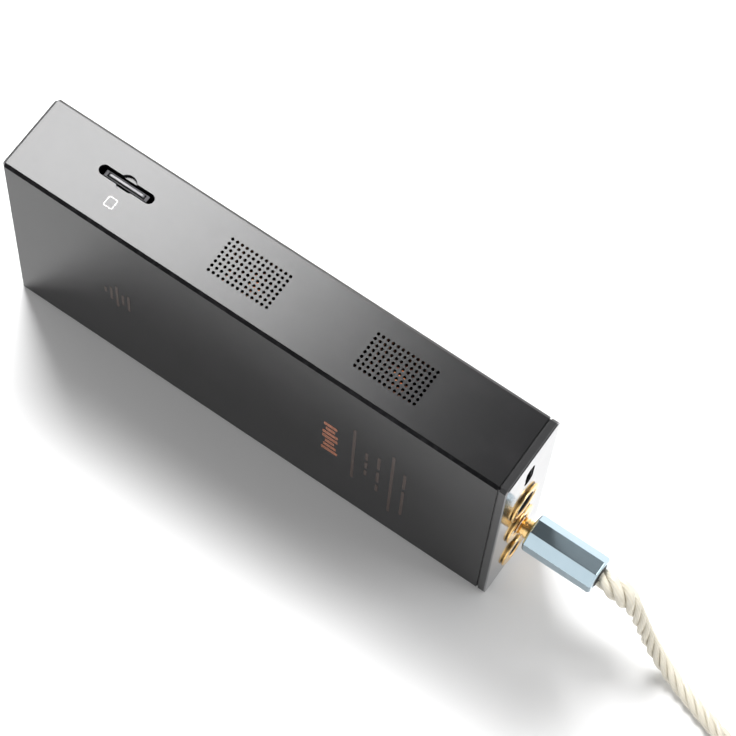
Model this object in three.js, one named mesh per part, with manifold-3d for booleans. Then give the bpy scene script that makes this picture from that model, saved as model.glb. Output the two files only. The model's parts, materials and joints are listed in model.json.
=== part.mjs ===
// Slim desktop DAC and headphone amplifier, standing on one long narrow side, with its lead.
// Millimetres, +Z up. X runs along the case towards the sockets, Y through its thickness.
// The origin is at the middle of the footprint, on the surface that the case stands on.

import * as THREE from 'three';
import { mergeVertices } from 'three/addons/utils/BufferGeometryUtils.js';
import Module from 'manifold-3d';

const wasm = await Module();
wasm.setup();

// ---------------------------------------------------------------- driving dimensions

const LENGTH = 155.8; // over both end plates
const THICKNESS = 24;
const HEIGHT = 74.4;
const WALL = 1.6; // case sleeve
const CHAMFER = 0.9; // long edges of the case
const GAP = 0.3; // between pieces that meet

const RIM = 2.25; // visible edge of the port end plate
const GROOVE = 1; // shadow gap between the sleeve and that plate
const SPIGOT_DEPTH = 3; // part of the port plate inside the sleeve
const SPIGOT_WALL = 1.5;
const BITE = 0.4; // how far two shapes joined into one piece run into each other
const PLATE = 2; // control end plate
const PLATE_RECESS = 0.5; // how far it sits inside the sleeve's end
const SEAT = 0.2; // depth of the rebate milled for it, which also ends the rails

const RIB_HEIGHT = 1.5; // rails inside the sleeve that hold the main board
const RIB_WIDTH = 0.7;
const BOARD = 1.2; // main board's thickness
const BOARD_FROM_FACE = 2.9; // inner face of the case to the middle of the main board

const VENT_PITCH = 1.5;
const VENT_COLUMNS = 13;
const VENT_ROWS = 8;
const VENT_RADIUS = 0.47;
const VENT_FIELDS_FROM_END = [69.6, 114.6]; // control end to the middle of each vent field

const CARD_FROM_END = 29.6; // control end to the middle of the card slot
const CARD_Y = 2;
const SLOT_LENGTH = 17.1;
const SLOT_WIDTH = 3.1;
const NOTCH_RADIUS = 2.75; // finger notch in the middle of the slot
const CARD = { width: 11, thickness: 0.7, length: 15, lip: 0.5 };
const SOCKET_WALL = 0.25;
const SOCKET_SIDE = 1; // side walls and floor of the card socket
const CARD_BOARD = { width: 20, thickness: 0.8, height: 15 };
const SOCKET_DEPTH_BELOW_TOP = 1; // mouth of the card socket under the case's top face

const USB = { fromMiddle: 25.4, height: 8.94, width: 3.26, wall: 0.3, length: 7.4 };
const USB_RECESS = 0.3;
const USB_TONGUE = { thickness: 0.7, height: 6.6, length: 5.2, base: 1.2 };

// Each round socket: height of its axis over the middle, bore radius, ring radius, body side and
// body length.
const SOCKETS = [
  { name: 'headphone', fromMiddle: 6.8, bore: 3.3, ring: 6, side: 12, length: 33 },
  { name: 'balanced', fromMiddle: -8.6, bore: 2.55, ring: 6, side: 10.4, length: 24 },
  { name: 'line', fromMiddle: -27.6, bore: 1.85, ring: 5.5, side: 9, length: 17 },
];
const SOCKET_BACK = 2; // wall behind each bore
const RING_NECK = 4.6; // radius of the threaded neck that passes through the plate
const RING_FLANGE = 0.6; // thickness of the gold flange
const RING_STANDOFF = 0.2; // flange to plate

const BUTTON = { height: 7.6, width: 3.6, flange: 0.8, flangeThick: 0.8, travel: 0.4, proud: 0.8 };
const BUTTONS = [
  { name: 'power', fromMiddle: 15.8 },
  { name: 'volume_up', fromMiddle: 0.8 },
  { name: 'volume_down', fromMiddle: -10.2 },
];
const SWITCH = { side: 4.5, thickness: 1.9 };
const CONTROL_BOARD = { sideRoom: 1.4, endRoom: 5.6, thickness: 0.8 }; // room inside the sleeve
const SCREW = { radius: 0.9, head: 1.8, headDepth: 1, spread: 26 };
const POST = { radius: 2.3 };

const BATTERY = { length: 46, thickness: 10, height: 46, fromBottom: 7, fromEnd: 11 };
const PAD = { thickness: 0.8, inset: 3 }; // soft pad under the battery
const TUBE = { radius: 4.2, length: 34, fromTop: 6.4, dome: 4, tip: 2, seal: 0.7 };
const TUBE_Y = 1.5;
const NARROW = 0.8; // share of its radius that a tube's shoulder or a plug's waist keeps
const TUBE_SOCKET = { wall: 0.5, height: 7.5 };
const TUBE_COLLAR = { thickness: 1.2, height: 3, fromTop: 11.4 };
const CAPACITOR = { radius: 4, length: 10, fromTop: 13.4, fromTube: 1.4 };

const PIN = { radius: 2.2, length: 19, tip: 1.1, point: 0.7 };
const COLLAR_RADIUS = 2.6;
const BARREL = { corner: 5.4, length: 21.3, standoff: 4.2, bore: 3.6, boreDepth: 3, edge: 0.5 };
const BARREL_SIDES = 8;

const CORD = 4.4; // diameter
const CORD_SIDES = 8;
const CORD_STEP = 2.2; // diameters between two sections of the cord
// The tied hank of the spare lead: how far along from the plug its middle is, half of its straight
// runs, the radius of its innermost fold, and how many turns lie side by side and on each other.
const HANK = { along: 89.8, half: 18.5, inner: 8.8, turnsAcross: 2, layers: 4 };
const TIE = { thickness: 0.6, width: 6, along: 8 }; // along from the middle of the hank
const FAR_PLUG = { back: 2.5, aside: 2.2 }; // its cord entry, from the middle and the outer turn
const LYING = 0.4; // surface to the underside of a cord that lies on it

// The lead between its plug and the hank: how far along X from the plug, and the shares it has kept
// of its way across to the hank's outer turn and of its height over the surface.
const CORD_ROUTE = [
  [0.9, 0, 1], [4.1, 0, 0.996], [7.6, 0, 0.946], [10.8, 0.008, 0.831], [13.4, 0.023, 0.681],
  [15.8, 0.045, 0.508], [18.6, 0.076, 0.331], [22.2, 0.13, 0.177], [26.6, 0.215, 0.069],
  [31.6, 0.33, 0.019], [37.6, 0.475, 0.004], [44.1, 0.63, 0], [50.6, 0.77, 0.004],
  [57.6, 0.89, 0.0115], [61.5, 0.94, 0.016],
];
// The lead between the top of the hank and its far plug: how far back from that plug, and its share
// of the way to the top turn.
const TAIL_ROUTE = [[13, 0.83], [9, 0.52], [5, 0.17], [2.6, 0.02], [0.9, 0]];

// ---------------------------------------------------------------- places worked out from them

const END = LENGTH / 2;
const CARD_X = CARD_FROM_END - END;
const VENT_FIELDS_X = VENT_FIELDS_FROM_END.map((x) => x - END);
const PLATE_IN = END - RIM; // inner face of the port plate's rim
const SLEEVE_END = PLATE_IN - GROOVE;
const CONTROL_OUT = -END + PLATE_RECESS; // outer face of the control plate
const CONTROL_IN = CONTROL_OUT + PLATE;
const INNER_Y = THICKNESS / 2 - WALL;
const INNER_TOP = HEIGHT - WALL;
const MIDDLE_Z = HEIGHT / 2;
const USB_Z = MIDDLE_Z + USB.fromMiddle;
const BOARD_Y = BOARD_FROM_FACE - INNER_Y;
const BOARD_FACE = BOARD_Y + BOARD / 2;
const FLOOR_OF_PARTS = BOARD_FACE + GAP; // underside of whatever stands on the main board
const boardTo = SLEEVE_END - SPIGOT_DEPTH - GAP; // main board's end towards the sockets
const FLANGE_FACE = END + RING_STANDOFF + RING_FLANGE;
const BARREL_FRONT = END + BARREL.standoff;
const PLUG_Z = MIDDLE_Z + SOCKETS[1].fromMiddle;
const CORD_ENTRY = BARREL_FRONT + BARREL.length;
const CORD_RADIUS = CORD / 2;
const HANK_X = CORD_ENTRY + HANK.along;
const OUTER_TURN = HANK.inner + (HANK.turnsAcross - 1) * CORD;
const HANK_BASE = TIE.thickness + GAP;
const HANK_TOP = HANK_BASE + HANK.layers * CORD + GAP;
const HANK_OUTER = OUTER_TURN + CORD_RADIUS + GAP;
const HANK_INNER = HANK.inner - CORD_RADIUS - GAP;
const BARREL_FLAT = BARREL.corner * Math.cos(Math.PI / BARREL_SIDES);
const FAR_PLUG_X = HANK_X - FAR_PLUG.back;
const FAR_PLUG_Y = FAR_PLUG.aside - OUTER_TURN;
const FAR_PLUG_Z = HANK_TOP + TIE.thickness + 2 * GAP + BARREL_FLAT; // it lies on the tie

// ---------------------------------------------------------------- finishes

const finish = (color, roughness, metalness) => ({ color, roughness, metalness });
const BLACK_ANODISED = finish(0x1b1b1d, 0.42, 0.6);
const POLISHED_PLATE = finish(0x55565a, 0.12, 0.9);
const GOLD = finish(0xd9a441, 0.2, 1);
const STEEL = finish(0xb4b6b8, 0.3, 1);
const BLACK_PLASTIC = finish(0x141414, 0.5, 0);
const BOARD_GREEN = finish(0x12382a, 0.5, 0);
const GLASS = finish(0xe8e4da, 0.05, 0);
const SILICONE = finish(0x8a2f22, 0.8, 0);
const BLUE_ALUMINIUM = finish(0x9fb3bf, 0.25, 0.9);
const LEAD_SLEEVE = finish(0xe9e4d4, 0.45, 0.1);
const BATTERY_WRAP = finish(0x6f7680, 0.5, 0.2);
const FOAM = finish(0x26262a, 0.95, 0);
const FERRITE = finish(0x303034, 0.7, 0.1);

// ---------------------------------------------------------------- helpers

const dac = new THREE.Group();

function add(name, geometry, look, place = [0, 0, 0], parent = dac) {
  const mesh = new THREE.Mesh(geometry, new THREE.MeshStandardMaterial(look));
  mesh.name = name;
  mesh.position.set(...place);
  parent.add(mesh);
  return mesh;
}

function solid(geometry) {
  const bare = geometry.clone();
  bare.deleteAttribute('normal');
  bare.deleteAttribute('uv');
  const merged = mergeVertices(bare);
  return new wasm.Manifold(new wasm.Mesh({
    numProp: 3,
    vertProperties: new Float32Array(merged.attributes.position.array),
    triVerts: new Uint32Array(merged.index.array),
  }));
}

function geometryOf(manifold) {
  const mesh = manifold.getMesh();
  const geometry = new THREE.BufferGeometry();
  geometry.setAttribute('position', new THREE.BufferAttribute(mesh.vertProperties, 3));
  geometry.setIndex(new THREE.BufferAttribute(mesh.triVerts, 1));
  return geometry;
}

function cut(geometry, ...tools) {
  return geometryOf(tools.reduce((rest, tool) => rest.subtract(solid(tool)), solid(geometry)));
}

const join = (geometry, other) => geometryOf(solid(geometry).add(solid(other)));

// Turns a geometry made along +Z so that it runs along +X, its own X and Y becoming Y and Z.
const TO_X = new THREE.Matrix4().makeBasis(
  new THREE.Vector3(0, 1, 0), new THREE.Vector3(0, 0, 1), new THREE.Vector3(1, 0, 0),
);

function alongZ(shapes, length, from = 0) {
  return new THREE.ExtrudeGeometry(shapes, { depth: length, bevelEnabled: false, curveSegments: 6 })
    .translate(0, 0, from);
}

const alongX = (shapes, length, from = 0) => alongZ(shapes, length, from).applyMatrix4(TO_X);

function box(x, y, z, place = [0, 0, 0]) {
  return new THREE.BoxGeometry(x, y, z).translate(...place);
}

function rod(radius, length, sides = 24) {
  return new THREE.CylinderGeometry(radius, radius, length, sides);
}

const rodX = (radius, from, to, sides = 24) => rod(radius, to - from, sides)
  .rotateZ(-Math.PI / 2).translate((from + to) / 2, 0, 0);

const rodZ = (radius, from, to, sides = 24) => rod(radius, to - from, sides)
  .rotateX(Math.PI / 2).translate(0, 0, (from + to) / 2);

// Turned piece: pairs of position along the axis and radius, closed on itself or on the axis.
function turnedX(profile, sides = 24) {
  const points = profile.map(([x, radius]) => new THREE.Vector2(radius, x));
  return new THREE.LatheGeometry(points, sides).rotateZ(-Math.PI / 2);
}

function turnedZ(profile, sides = 24) {
  const points = profile.map(([z, radius]) => new THREE.Vector2(radius, z));
  return new THREE.LatheGeometry(points, sides).rotateX(Math.PI / 2);
}

const tubeProfile = (from, to, inner, outer) => [
  [from, inner], [from, outer], [to, outer], [to, inner], [from, inner],
];

// Outline with straight chamfers, centred on (0, MIDDLE_Z).
function chamferedOutline(width, height, chamfer) {
  const a = width / 2;
  const b = height / 2;
  const corners = [
    [a - chamfer, -b], [a, -b + chamfer], [a, b - chamfer], [a - chamfer, b],
    [-a + chamfer, b], [-a, b - chamfer], [-a, -b + chamfer], [-a + chamfer, -b],
  ];
  return new THREE.Shape(corners.map(([y, z]) => new THREE.Vector2(y, z + MIDDLE_Z)));
}

function rectangle(low, high) {
  return [[low[0], low[1]], [high[0], low[1]], [high[0], high[1]], [low[0], high[1]]]
    .map(([y, z]) => new THREE.Vector2(y, z));
}

// Outline with half-round ends: its long side runs along the second axis.
function stadium(width, height, middle = [0, 0]) {
  const radius = width / 2;
  const straight = height / 2 - radius;
  const shape = new THREE.Shape();
  shape.absarc(middle[0], middle[1] + straight, radius, 0, Math.PI, false);
  shape.absarc(middle[0], middle[1] - straight, radius, Math.PI, 2 * Math.PI, false);
  shape.closePath();
  return shape;
}

// ---------------------------------------------------------------- case sleeve

// Inside of the sleeve: a rectangle with two pairs of rails that hold the main board's edges.
function innerOutline() {
  const low = BOARD_Y - BOARD / 2 - GAP;
  const high = BOARD_Y + BOARD / 2 + GAP;
  const steps = [low - RIB_WIDTH, low, high, high + RIB_WIDTH];
  const bottom = [];
  steps.forEach((y, i) => {
    const tall = WALL + RIB_HEIGHT;
    bottom.push(i % 2 === 0 ? [[y, WALL], [y, tall]] : [[y, tall], [y, WALL]]);
  });
  const along = bottom.flat();
  const top = along.map(([y, z]) => [y, HEIGHT - z]).reverse();
  const corners = [
    [-INNER_Y, WALL], ...along, [INNER_Y, WALL], [INNER_Y, INNER_TOP], ...top, [-INNER_Y, INNER_TOP],
  ];
  return new THREE.Path(corners.map(([y, z]) => new THREE.Vector2(y, z)));
}

function ventShapes(middle) {
  const shapes = [];
  for (let column = 0; column < VENT_COLUMNS; column += 1) {
    for (let row = 0; row < VENT_ROWS; row += 1) {
      const x = middle + (column - (VENT_COLUMNS - 1) / 2) * VENT_PITCH;
      const y = (row - (VENT_ROWS - 1) / 2) * VENT_PITCH;
      const hexagon = Array.from({ length: 6 }, (_, i) => new THREE.Vector2(
        x + VENT_RADIUS * Math.cos((i * Math.PI) / 3),
        y + VENT_RADIUS * Math.sin((i * Math.PI) / 3),
      ));
      shapes.push(new THREE.Shape(hexagon));
    }
  }
  return shapes;
}

function caseSleeve() {
  const outline = chamferedOutline(THICKNESS, HEIGHT, CHAMFER);
  outline.holes.push(innerOutline());
  const sleeve = alongX(outline, SLEEVE_END + END, -END);
  const through = [2 * WALL, INNER_TOP - WALL / 2];
  const slot = stadium(SLOT_WIDTH, SLOT_LENGTH);
  const slotTool = alongZ(slot, ...through).rotateZ(Math.PI / 2).translate(CARD_X, CARD_Y, 0);
  const notchTool = rodZ(NOTCH_RADIUS, through[1], through[1] + through[0], 32)
    .translate(CARD_X, CARD_Y, 0);
  const vents = VENT_FIELDS_X.map((x) => alongZ(ventShapes(x), ...through));
  const seatTool = box(
    2 * (CONTROL_IN + GAP + END), 2 * (INNER_Y + SEAT), INNER_TOP - WALL + 2 * SEAT,
    [-END, 0, MIDDLE_Z],
  );
  return cut(sleeve, slotTool, notchTool, ...vents, seatTool);
}

add('case_sleeve', caseSleeve(), BLACK_ANODISED);

// ---------------------------------------------------------------- port end

function portEndPlate() {
  const rim = alongX(chamferedOutline(THICKNESS, HEIGHT, CHAMFER), RIM, PLATE_IN);
  const halfY = INNER_Y - GAP;
  const low = WALL + RIB_HEIGHT + GAP;
  const frame = new THREE.Shape(rectangle([-halfY, low], [halfY, HEIGHT - low]));
  frame.holes.push(new THREE.Path(rectangle(
    [-halfY + SPIGOT_WALL, low + SPIGOT_WALL], [halfY - SPIGOT_WALL, HEIGHT - low - SPIGOT_WALL],
  )));
  const spigot = alongX(frame, GROOVE + SPIGOT_DEPTH + BITE, SLEEVE_END - SPIGOT_DEPTH);
  const holes = SOCKETS.map(({ fromMiddle }) => rodX(RING_NECK + GAP, PLATE_IN - GAP, END + GAP)
    .translate(0, 0, MIDDLE_Z + fromMiddle));
  const usbHole = stadium(USB.width + 2 * GAP, USB.height + 2 * GAP, [0, USB_Z]);
  return cut(join(rim, spigot), ...holes, alongX(usbHole, RIM + 2 * GAP, PLATE_IN - GAP));
}

add('port_end_plate', portEndPlate(), POLISHED_PLATE);

for (const { name, fromMiddle, bore, ring, side, length } of SOCKETS) {
  const z = MIDDLE_Z + fromMiddle;
  const front = PLATE_IN - GAP;
  const deep = side / 2 - FLOOR_OF_PARTS;
  const body = box(length, deep, side, [front - length / 2, side / 2 - deep / 2, 0]);
  const bodyBore = rodX(bore, front - length + SOCKET_BACK, front + GAP);
  add(`${name}_jack`, cut(body, bodyBore), BLACK_PLASTIC, [0, 0, z]);
  const bevel = RING_FLANGE / 2;
  const profile = [
    [PLATE_IN, bore], [PLATE_IN, RING_NECK], [END + RING_STANDOFF, RING_NECK],
    [END + RING_STANDOFF, ring], [FLANGE_FACE - bevel, ring], [FLANGE_FACE, ring - bevel],
    [FLANGE_FACE, bore + bevel], [FLANGE_FACE - bevel, bore], [PLATE_IN, bore],
  ];
  add(`${name}_ring`, turnedX(profile, 36), GOLD, [0, 0, z]);
}

const usbFront = END - USB_RECESS;
const usbShell = stadium(USB.width, USB.height);
usbShell.holes.push(stadium(USB.width - 2 * USB.wall, USB.height - 2 * USB.wall));
add('usb_socket', alongX(usbShell, USB.length, -USB.length), STEEL, [usbFront, 0, USB_Z]);
const usbBase = stadium(USB.width - 2 * USB.wall - GAP, USB.height - 2 * USB.wall - GAP);
const usbTongue = box(
  USB_TONGUE.length, USB_TONGUE.thickness, USB_TONGUE.height, [USB_TONGUE.length / 2, 0, 0],
);
add('usb_tongue', join(alongX(usbBase, USB_TONGUE.base), usbTongue), BLACK_PLASTIC,
  [usbFront - USB.length + USB.wall, 0, USB_Z]);
const riserTop = -USB.width / 2 - GAP;
const riserFrom = boardTo - USB.length + USB.wall;
add('usb_riser', box(boardTo - riserFrom, riserTop - FLOOR_OF_PARTS, USB.height), BLACK_PLASTIC,
  [(boardTo + riserFrom) / 2, (riserTop + FLOOR_OF_PARTS) / 2, USB_Z]);

// ---------------------------------------------------------------- control end

function controlEndPlate() {
  const halfY = INNER_Y + SEAT - GAP;
  const outline = new THREE.Shape(rectangle(
    [-halfY, WALL - SEAT + GAP], [halfY, INNER_TOP + SEAT - GAP],
  ));
  const openings = BUTTONS.map(({ fromMiddle }) => stadium(
    BUTTON.width + 2 * GAP, BUTTON.height + 2 * GAP, [0, MIDDLE_Z + fromMiddle],
  ));
  const plate = alongX(outline, PLATE, CONTROL_OUT);
  const heads = [-1, 1].flatMap((end) => {
    const z = MIDDLE_Z + end * SCREW.spread;
    return [
      rodX(SCREW.head + GAP, CONTROL_OUT - GAP, CONTROL_OUT + SCREW.headDepth + GAP).translate(0, 0, z),
      rodX(SCREW.radius + GAP, CONTROL_OUT, CONTROL_IN + GAP).translate(0, 0, z),
    ];
  });
  return cut(plate, alongX(openings, PLATE + 2 * GAP, CONTROL_OUT - GAP), ...heads);
}

add('control_end_plate', controlEndPlate(), BLACK_ANODISED);

const flangeFrom = CONTROL_IN + GAP;
const flangeTo = flangeFrom + BUTTON.flangeThick;
const switchFront = flangeTo + BUTTON.travel + GAP;
const controlBoardX = switchFront + SWITCH.thickness + GAP;
const screwTip = controlBoardX + CONTROL_BOARD.thickness + 2 * GAP;
for (const { name, fromMiddle } of BUTTONS) {
  const z = MIDDLE_Z + fromMiddle;
  const cap = alongX(
    stadium(BUTTON.width, BUTTON.height), flangeTo + END + BUTTON.proud, -END - BUTTON.proud,
  );
  const flange = alongX(
    stadium(BUTTON.width + 2 * BUTTON.flange, BUTTON.height + 2 * BUTTON.flange),
    BUTTON.flangeThick, flangeFrom,
  );
  add(`${name}_button`, join(cap, flange), BLACK_ANODISED, [0, 0, z]);
  const body = box(SWITCH.thickness, SWITCH.side, SWITCH.side);
  add(`${name}_switch`, body, STEEL, [switchFront + SWITCH.thickness / 2, 0, z]);
}

function controlBoard() {
  const { sideRoom, endRoom, thickness } = CONTROL_BOARD;
  const board = box(
    thickness, 2 * (INNER_Y - sideRoom), INNER_TOP - WALL - 2 * endRoom,
    [controlBoardX + thickness / 2, 0, MIDDLE_Z],
  );
  const holes = [-1, 1].map((end) => rodX(
    SCREW.radius + GAP, controlBoardX - GAP, controlBoardX + thickness + GAP, 12,
  ).translate(0, 0, MIDDLE_Z + end * SCREW.spread));
  return cut(board, ...holes);
}

add('control_board', controlBoard(), BOARD_GREEN);

[['lower', -1], ['upper', 1]].forEach(([where, end]) => {
  const z = MIDDLE_Z + end * SCREW.spread;
  const screw = [
    [CONTROL_OUT, 0], [CONTROL_OUT, SCREW.head], [CONTROL_OUT + SCREW.headDepth, SCREW.head],
    [CONTROL_OUT + SCREW.headDepth, SCREW.radius], [screwTip, SCREW.radius], [screwTip, 0],
  ];
  add(`plate_screw_${where}`, turnedX(screw, 16), STEEL, [0, 0, z]);
  const post = tubeProfile(CONTROL_IN + GAP, controlBoardX - GAP, SCREW.radius + GAP, POST.radius);
  add(`screw_post_${where}`, turnedX(post, 16), STEEL, [0, 0, z]);
});

// ---------------------------------------------------------------- main board and what stands on it

const boardFrom = screwTip + 2 * GAP;
const boardEdge = WALL + GAP;
add('main_board', box(boardTo - boardFrom, BOARD, HEIGHT - 2 * boardEdge), BOARD_GREEN,
  [(boardFrom + boardTo) / 2, BOARD_Y, MIDDLE_Z]);

const batteryX = BATTERY.fromEnd + BATTERY.length / 2 - END;
const batteryZ = BATTERY.fromBottom + BATTERY.height / 2;
add('battery_pad', box(
  BATTERY.length - 2 * PAD.inset, PAD.thickness, BATTERY.height - 2 * PAD.inset,
), FOAM, [batteryX, FLOOR_OF_PARTS + PAD.thickness / 2, batteryZ]);
const batteryY = FLOOR_OF_PARTS + PAD.thickness + GAP + BATTERY.thickness / 2;
add('battery_pack', box(BATTERY.length, BATTERY.thickness, BATTERY.height), BATTERY_WRAP,
  [batteryX, batteryY, batteryZ]);

// Chips: place along X from the control end and up from the bottom, and size along X, Y and Z.
const CHIPS = [
  { name: 'shield_can', fromEnd: 72, up: 14, size: [20, 3.2, 15], look: STEEL },
  { name: 'converter_chip', fromEnd: 92, up: 14, size: [9, 1.2, 9], look: BLACK_PLASTIC },
  { name: 'clock_can', fromEnd: 92, up: 25, size: [5, 1.4, 3.2], look: STEEL },
  { name: 'amplifier_chip_left', fromEnd: 104, up: 18, size: [6, 1.4, 5], look: BLACK_PLASTIC },
  { name: 'amplifier_chip_right', fromEnd: 104, up: 9, size: [6, 1.4, 5], look: BLACK_PLASTIC },
  { name: 'power_inductor', fromEnd: 117, up: 13, size: [7, 4, 7], look: FERRITE },
];
for (const { name, fromEnd, up, size, look } of CHIPS) {
  add(name, box(...size), look, [fromEnd - END, FLOOR_OF_PARTS + size[1] / 2, up]);
}

// Two small tubes stand under the vent fields, each in a socket and a soft collar, with a coupling
// capacitor on each side of them.
VENT_FIELDS_X.forEach((x, i) => {
  const side = ['left', 'right'][i];
  const { radius } = TUBE;
  const top = INNER_TOP - TUBE.fromTop;
  const base = top - TUBE.length;
  const glass = [
    [base, 0], [base, radius * NARROW], [base + TUBE.seal, radius], [top - TUBE.dome, radius],
    [top - TUBE.tip, radius * NARROW], [top - TUBE.seal, (radius * NARROW) / 2], [top, 0],
  ];
  add(`${side}_tube`, turnedZ(glass), GLASS, [x, TUBE_Y, 0]);
  const { wall, height } = TUBE_SOCKET;
  const face = TUBE_Y + radius + wall;
  add(`${side}_tube_socket`, box(2 * (radius + wall), face - FLOOR_OF_PARTS, height), BLACK_PLASTIC,
    [x, (face + FLOOR_OF_PARTS) / 2, base - GAP - height / 2]);
  const inner = radius + GAP;
  const low = INNER_TOP - TUBE_COLLAR.fromTop;
  const outer = inner + TUBE_COLLAR.thickness;
  const collar = tubeProfile(low, low + TUBE_COLLAR.height, inner, outer);
  add(`${side}_tube_collar`, turnedZ(collar), SILICONE, [x, TUBE_Y, 0]);
  const apart = outer + CAPACITOR.fromTube + CAPACITOR.radius;
  ['near', 'far'].forEach((where, j) => {
    add(`${side}_capacitor_${where}`, rod(CAPACITOR.radius, CAPACITOR.length, 20), GOLD, [
      x + (2 * j - 1) * apart, FLOOR_OF_PARTS + CAPACITOR.length / 2, INNER_TOP - CAPACITOR.fromTop,
    ]);
  });
});

// ---------------------------------------------------------------- memory card and its socket

const socketMouth = HEIGHT - SOCKET_DEPTH_BELOW_TOP;
const cavity = { x: CARD.width + 2 * GAP, y: CARD.thickness + 2 * GAP, z: CARD.length - CARD.lip + GAP };
const cardSocket = {
  x: cavity.x + 2 * SOCKET_SIDE, y: cavity.y + 2 * SOCKET_WALL, z: cavity.z + SOCKET_SIDE,
};
add('card_socket', cut(
  box(cardSocket.x, cardSocket.y, cardSocket.z, [0, 0, -cardSocket.z / 2]),
  box(cavity.x, cavity.y, 2 * cavity.z),
), STEEL, [CARD_X, CARD_Y, socketMouth]);
add('memory_card', box(CARD.width, CARD.thickness, CARD.length), BLACK_PLASTIC,
  [CARD_X, CARD_Y, socketMouth + CARD.lip - CARD.length / 2]);
const cardBoardFace = CARD_Y - cardSocket.y / 2 - GAP;
const cardBoardBack = cardBoardFace - CARD_BOARD.thickness;
const cardBoardZ = INNER_TOP - RIB_HEIGHT - GAP - CARD_BOARD.height / 2;
add('card_board', box(CARD_BOARD.width, CARD_BOARD.thickness, CARD_BOARD.height), BOARD_GREEN,
  [CARD_X, cardBoardBack + CARD_BOARD.thickness / 2, cardBoardZ]);
const spacerDepth = cardBoardBack - GAP - FLOOR_OF_PARTS;
add('card_spacer', box(cardSocket.x, spacerDepth, CARD_BOARD.height), BLACK_PLASTIC,
  [CARD_X, FLOOR_OF_PARTS + spacerDepth / 2, cardBoardZ]);

// ---------------------------------------------------------------- the lead and its two plugs

// A plug, its cord entry at the origin, pointing along +X from its cord to its tip.
function plug(prefix) {
  const group = new THREE.Group();
  const { corner, length, bore, boreDepth, edge } = BARREL;
  const turned = Math.PI / BARREL_SIDES;
  const outline = [
    [0, bore], [0, corner - edge], [edge, corner], [length - edge, corner], [length, corner - edge],
    [length, 0], [boreDepth, 0], [boreDepth, bore], [0, bore],
  ];
  const barrel = turnedX(outline, BARREL_SIDES).rotateX(turned);
  add(`${prefix}_barrel`, barrel, BLUE_ALUMINIUM, [0, 0, 0], group);
  const bush = rodX(bore * Math.cos(turned) - GAP, -GAP, boreDepth - GAP);
  add(`${prefix}_bush`, bush, BLACK_PLASTIC, [0, 0, 0], group);
  const collarFrom = length + GAP;
  const collarTo = length + BARREL.standoff - (FLANGE_FACE - END) - GAP;
  add(`${prefix}_collar`, rodX(COLLAR_RADIUS, collarFrom, collarTo), GOLD, [0, 0, 0], group);
  const pinFrom = collarTo + GAP;
  const { radius, tip } = PIN;
  const pin = [
    [pinFrom, 0], [pinFrom, radius], [pinFrom + PIN.length - 2 * tip, radius],
    [pinFrom + PIN.length - tip, radius * NARROW], [pinFrom + PIN.length, PIN.point],
    [pinFrom + PIN.length, 0],
  ];
  add(`${prefix}_pin`, turnedX(pin, 20), GOLD, [0, 0, 0], group);
  return group;
}

const nearPlug = plug('plug');
nearPlug.position.set(CORD_ENTRY, 0, PLUG_Z);
nearPlug.rotation.z = Math.PI;
dac.add(nearPlug);

const farPlug = plug('far_plug');
farPlug.position.set(FAR_PLUG_X, FAR_PLUG_Y, FAR_PLUG_Z);
dac.add(farPlug);

function cordTube(route) {
  const path = new THREE.CatmullRomCurve3(
    route.map((p) => new THREE.Vector3(...p)), false, 'centripetal',
  );
  const section = new THREE.Shape(Array.from({ length: CORD_SIDES }, (_, i) => {
    const angle = (2 * i * Math.PI) / CORD_SIDES;
    return new THREE.Vector2(CORD_RADIUS * Math.cos(angle), CORD_RADIUS * Math.sin(angle));
  }));
  const steps = Math.round(path.getLength() / (CORD_STEP * CORD));
  return new THREE.ExtrudeGeometry(section, { steps, extrudePath: path, bevelEnabled: false });
}

const hankOutline = (radius) => stadium(2 * radius, 2 * (radius + HANK.half));
const hankRoom = alongZ(hankOutline(HANK_OUTER + GAP), HANK_TOP + CORD, -GAP)
  .rotateZ(Math.PI / 2).translate(HANK_X, 0, 0);
const lyingZ = CORD_RADIUS + LYING;
const cordRoute = CORD_ROUTE.map(([along, across, up]) => [
  CORD_ENTRY + along, -across * OUTER_TURN, lyingZ + up * (PLUG_Z - lyingZ),
]);
const topTurnZ = HANK_TOP + CORD_RADIUS;
const tailRoute = TAIL_ROUTE.map(([back, share]) => [
  FAR_PLUG_X - back, FAR_PLUG_Y - share * FAR_PLUG.aside,
  FAR_PLUG_Z + share * (topTurnZ - FAR_PLUG_Z),
]);
add('cord', cut(cordTube(cordRoute), hankRoom), LEAD_SLEEVE);
add('cord_tail', cordTube(tailRoute), LEAD_SLEEVE);
const hank = hankOutline(HANK_OUTER);
hank.holes.push(hankOutline(HANK_INNER));
add('cord_hank', alongZ(hank, HANK_TOP - HANK_BASE, HANK_BASE).rotateZ(Math.PI / 2), LEAD_SLEEVE,
  [HANK_X, 0, 0]);

function cordTie() {
  const low = [-HANK_OUTER - GAP, HANK_BASE - GAP];
  const high = [HANK_OUTER + GAP, HANK_TOP + GAP];
  const { thickness, width } = TIE;
  const outline = new THREE.Shape(rectangle(
    [low[0] - thickness, low[1] - thickness], [high[0] + thickness, high[1] + thickness],
  ));
  outline.holes.push(new THREE.Path(rectangle(low, high)));
  return alongX(outline, width, -width / 2);
}

add('cord_tie', cordTie(), BLACK_PLASTIC, [HANK_X + TIE.along, 0, 0]);

export default dac;
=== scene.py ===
import json
import math

import bmesh
import bpy
import numpy as np
from bpy.props import FloatProperty, FloatVectorProperty, IntProperty, PointerProperty
from bpy.types import Operator, Panel, PropertyGroup
from mathutils import Matrix, Vector


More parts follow.
